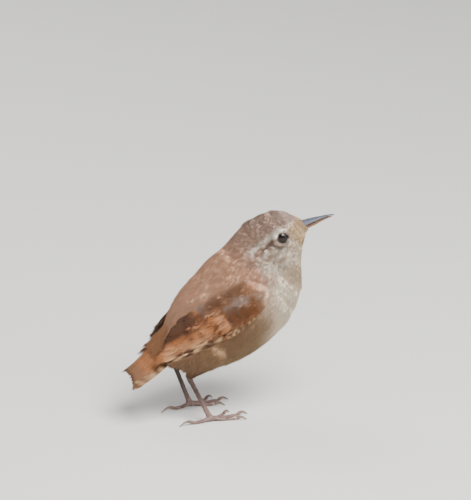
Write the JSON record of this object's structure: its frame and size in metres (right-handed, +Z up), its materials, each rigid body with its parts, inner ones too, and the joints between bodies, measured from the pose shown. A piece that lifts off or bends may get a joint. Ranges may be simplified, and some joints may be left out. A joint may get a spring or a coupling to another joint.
{
  "type": "wren",
  "caption": "Life-size still model of a small brown songbird, a wren, standing on both feet with its head raised and its fine bill tilted up.",
  "frame": {"origin": "on the floor, at the middle of the underside of the bounding box, which is ahead of and between the feet", "axes": "+X is the way the body heads, +Y is the bird's left, +Z is up"},
  "size_m": [0.0764, 0.0356, 0.0742],
  "materials": {
    "body_plumage": "soft barred brown plumage, paler below",
    "head_plumage": "soft brown plumage with a pale brow and streaked cheeks",
    "wing_plumage": "rufous brown vanes barred dark and buff",
    "tail_plumage": "rufous brown vanes with fine dark bars",
    "thigh_plumage": "soft buff brown plumage",
    "eye": "wet dark brown, near black",
    "bill_upper": "satin dark grey horn",
    "bill_lower": "satin orange brown horn",
    "leg": "satin pinkish brown scaled skin",
    "claw": "satin brown horn"
  },
  "bodies": {
    "root": {"bill_lower": "bill_lower", "bill_upper": "bill_upper", "claw_left_hind": "claw", "claw_left_inner": "claw", "claw_left_middle": "claw", "claw_left_outer": "claw", "claw_right_hind": "claw", "claw_right_inner": "claw", "claw_right_middle": "claw", "claw_right_outer": "claw", "eye_left": "eye", "eye_right": "eye", "head": "head_plumage", "neck": "body_plumage", "tail": "tail_plumage", "tarsus_left": "leg", "tarsus_right": "leg", "thigh_left": "thigh_plumage", "thigh_right": "thigh_plumage", "toe_left_hind": "leg", "toe_left_inner": "leg", "toe_left_middle": "leg", "toe_left_outer": "leg", "toe_right_hind": "leg", "toe_right_inner": "leg", "toe_right_middle": "leg", "toe_right_outer": "leg", "torso": "body_plumage", "wing_left": "wing_plumage", "wing_right": "wing_plumage"}
  },
  "joints": []
}
